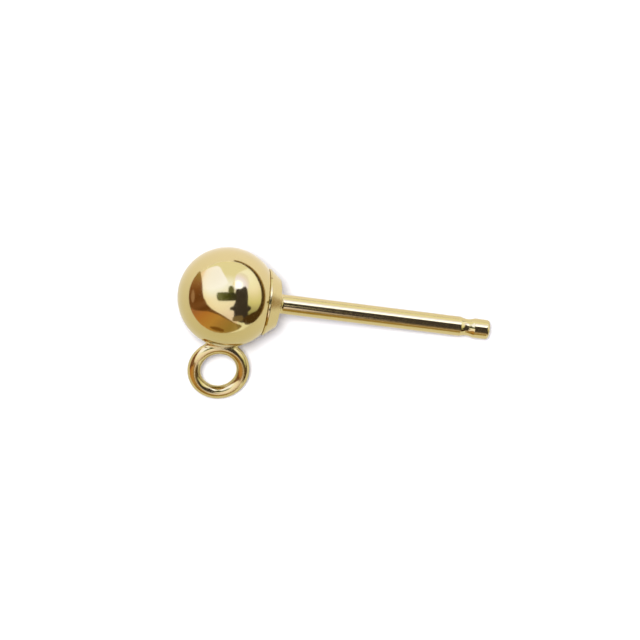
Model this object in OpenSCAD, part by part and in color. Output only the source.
// Ball stud earring with a closed drop ring, lying at rest on a flat surface. Millimetres.
// The stud is built in its own frame: the ball's centre at the origin, the post along +X and the ring
// towards -Y. It is then rolled and tipped into the pose in which it lies by itself, on three points: the
// ball, the lowest point of the ring and the lower edge of the post's tip.

/* [Ball] */
// Diameter of the ball
ball_d = 4; // [3.6:0.1:5]
// Thickness of the hollow ball's wall
ball_wall = 0.25; // [0.15:0.05:0.4]

/* [Ring] */
// Diameter of the ring's round wire
ring_wire_d = 0.52; // [0.4:0.02:0.6]
// Diameter of the ring's opening
ring_inner_d = 1.45; // [1.2:0.01:1.8]
// Angle between the ring's direction and the post
ring_angle = 86.7; // [84:0.1:90]
// How far the ring's wire is let into the ball where they touch
ring_seat = 0.03; // [0.02:0.01:0.06]

/* [Solder] */
// Radius of the solder's two fillets between ball and ring
solder_fillet = 0.2; // [0.12:0.01:0.3]
// Thickness of the solder across the ring's plane
solder_t = 0.26; // [0.2:0.02:0.36]

/* [Cup] */
// Depth from the ball's back to the plane of the cup's rim
cup_grip = 0.46; // [0.36:0.01:0.5]
// Thickness of the rim, square to the post
cup_lip = 0.03; // [0.02:0.01:0.06]
// Length of the straight band behind the rim
cup_band = 0.05; // [0.03:0.01:0.08]
// Diameter where the bevel meets the domed back
cup_back_d = 1.94; // [1.8:0.01:2.1]
// Thickness of the cup's back at that corner, measured from the ball's back
cup_corner = 0.03; // [0.02:0.01:0.12]
// Rise of the domed back above that corner
cup_dome = 0.1; // [0.08:0.01:0.2]
// Clear seam between the ball and the cup
seam = 0.02; // [0.01:0.01:0.03]

/* [Post] */
// Diameter of the post
post_d = 0.78; // [0.7:0.01:0.9]
// Length from the crown of the cup to the tip
post_length = 8.53; // [7:0.01:11]
// Distance from the tip to the middle of the groove
groove_from_tip = 0.9; // [0.8:0.01:1.2]
// Depth of the groove
groove_depth = 0.06; // [0.04:0.01:0.1]
// Radius of the groove's round bottom
groove_r = 0.68; // [0.5:0.01:0.9]
// Radius of the broken edge at the tip
tip_edge = 0.12; // [0.06:0.01:0.16]
// Radius of the fillet at the post's root
root_fillet = 0.14; // [0.1:0.01:0.2]
// Diameter of the post's thinner inner end, which goes through the cup into the hollow ball
inner_d = 0.4; // [0.3:0.02:0.44]
// How far the inner end stands inside the hollow ball
inner_end = 0.15; // [0.1:0.01:0.3]

/* [Hidden] */

$fn = 96;
gold = [0.86, 0.74, 0.45];

ball_r = ball_d / 2;
bore_r = ball_r - ball_wall;
post_r = post_d / 2;
inner_r = inner_d / 2;

// Ring: a circle of round wire whose plane holds the post's axis
wire_r = ring_wire_d / 2;
ring_r = (ring_inner_d + ring_wire_d) / 2;
ring_out_r = ring_r + wire_r;
ring_dist = ball_r + ring_out_r - ring_seat;
ring_lean = 90 - ring_angle;

// Solder: a fillet's centre is one fillet radius from the ball and from the outside of the ring. It lies
// fillet_u along the line from the ball to the ring and fillet_v to either side of it.
fillet_u = (pow(ball_r + solder_fillet, 2) - pow(ring_out_r + solder_fillet, 2) + pow(ring_dist, 2))
    / (2 * ring_dist);
fillet_v = sqrt(pow(ball_r + solder_fillet, 2) - pow(fillet_u, 2));

// Cup: distances from the ball's centre, and the circle of the dome through its corner and its crown
seat_r = ball_r + seam;
rim_x = ball_r - cup_grip;
rim_r = sqrt(pow(seat_r, 2) - pow(rim_x, 2)) + cup_lip;
corner_x = ball_r + cup_corner;
corner_r = cup_back_d / 2;
crown_x = corner_x + cup_dome;
dome_r = (pow(corner_r, 2) + pow(cup_dome, 2)) / (2 * cup_dome);
dome_x = crown_x - dome_r;

// Post: distances from the ball's centre. The fillet at its root ends just under the dome's surface.
tip_x = crown_x + post_length;
groove_x = tip_x - groove_from_tip;
inner_x = bore_r - inner_end;
foot_r = post_r + root_fillet;
foot_depth = 0.004;
root_x = dome_x + sqrt(pow(dome_r, 2) - pow(foot_r, 2)) - foot_depth + root_fillet;

// Tip-down tilt at which the rounded edge of the tip lies as low as the ball
edge_x = tip_x - tip_edge;
edge_r = post_r - tip_edge;
tilt = asin((ball_r - tip_edge) / norm([edge_x, edge_r])) - atan2(edge_r, edge_x);

// Roll at which the lowest point of the ring's wire lies as low as the ball. Apart from a square root, the
// depth of a point on the wire's centre line is linear in lift, the sine of the roll times the cosine of the
// tilt, so lift is the smaller root of a quadratic.
ring_x = ring_dist * sin(ring_lean);
ring_y = ring_dist * cos(ring_lean);
drop = ball_r - wire_r - ring_x * sin(tilt);
spread = pow(ring_y, 2) - pow(ring_r, 2);
reach = pow(drop, 2) - pow(ring_r * sin(tilt), 2);
lift = (drop * ring_y - sqrt(pow(drop * ring_y, 2) - spread * reach)) / spread;
roll = asin(lift / cos(tilt));

// Middle of the box that the stud fills as it lies
far_x = edge_x * cos(tilt) + edge_r * sin(tilt) + tip_edge;
mid_x = (far_x - ball_r) / 2;
low_y = -(ring_y + ring_r) * cos(roll) - wire_r;
mid_y = (low_y + ball_r) / 2;

// Turns a profile drawn as [radius, distance along the post] about the post's axis
module turned() {
    rotate([0, 90, 0]) rotate_extrude() children();
}

// Hollow ball, open at its back where the post's inner end goes in
module ball_shell() {
    turned() difference() {
        intersection() {
            circle(r = ball_r);
            translate([0, -ball_d]) square(2 * ball_d);
        }
        circle(r = bore_r);
        square([inner_r + seam, ball_d]);
    }
}

module drop_ring() {
    translate([0, -ring_dist, 0]) rotate_extrude() translate([ring_r, 0]) circle(r = wire_r);
}

// Web in the ring's plane that ends in the middle of the ball's wall and in the middle of the wire
module solder() {
    linear_extrude(height = solder_t, center = true) difference() {
        polygon([[0, 0], [fillet_v, -fillet_u], [0, -ring_dist], [-fillet_v, -fillet_u]]);
        for (side = [-1, 1]) translate([side * fillet_v, -fillet_u]) circle(r = solder_fillet);
        circle(r = ball_r - ball_wall / 2);
        translate([0, -ring_dist]) circle(r = ring_r);
    }
}

// Half of the cup's section: bevelled outside, hollowed for the ball, with a domed back
module cup_section() {
    difference() {
        union() {
            polygon([
                [0, rim_x], [rim_r, rim_x], [rim_r, rim_x + cup_band], [corner_r, corner_x], [0, corner_x]
            ]);
            intersection() {
                translate([0, dome_x]) circle(r = dome_r);
                translate([0, ball_r]) square([corner_r, 2 * cup_dome + cup_corner]);
            }
        }
        circle(r = seat_r);
    }
}

// Half of the post's section, with its inner end, the groove and the rounded edge of the tip
module post_section() {
    difference() {
        union() {
            translate([0, inner_x]) square([inner_r, corner_x - inner_x]);
            translate([0, corner_x]) square([post_r, edge_x - corner_x]);
            translate([0, edge_x]) square([edge_r, tip_edge]);
            translate([edge_r, edge_x]) circle(r = tip_edge);
        }
        translate([post_r - groove_depth + groove_r, groove_x]) circle(r = groove_r);
    }
}

// Half of the section of the fillet that runs from the dome of the cup up to the post
module root_section() {
    difference() {
        translate([0, corner_x]) square([foot_r, root_x - corner_x]);
        translate([foot_r, root_x]) circle(r = root_fillet);
    }
}

// Carries the stud from its own frame to where it lies, over the middle of its box
module lying() {
    translate([-mid_x, -mid_y, ball_r]) rotate([0, tilt, 0]) rotate([roll, 0, 0]) children();
}

module ball_with_ring() {
    color(gold) lying() union() {
        ball_shell();
        rotate([0, 0, ring_lean]) {
            drop_ring();
            solder();
        }
    }
}

module post_with_cup() {
    color(gold) lying() turned() union() {
        cup_section();
        post_section();
        root_section();
    }
}

ball_with_ring();
post_with_cup();
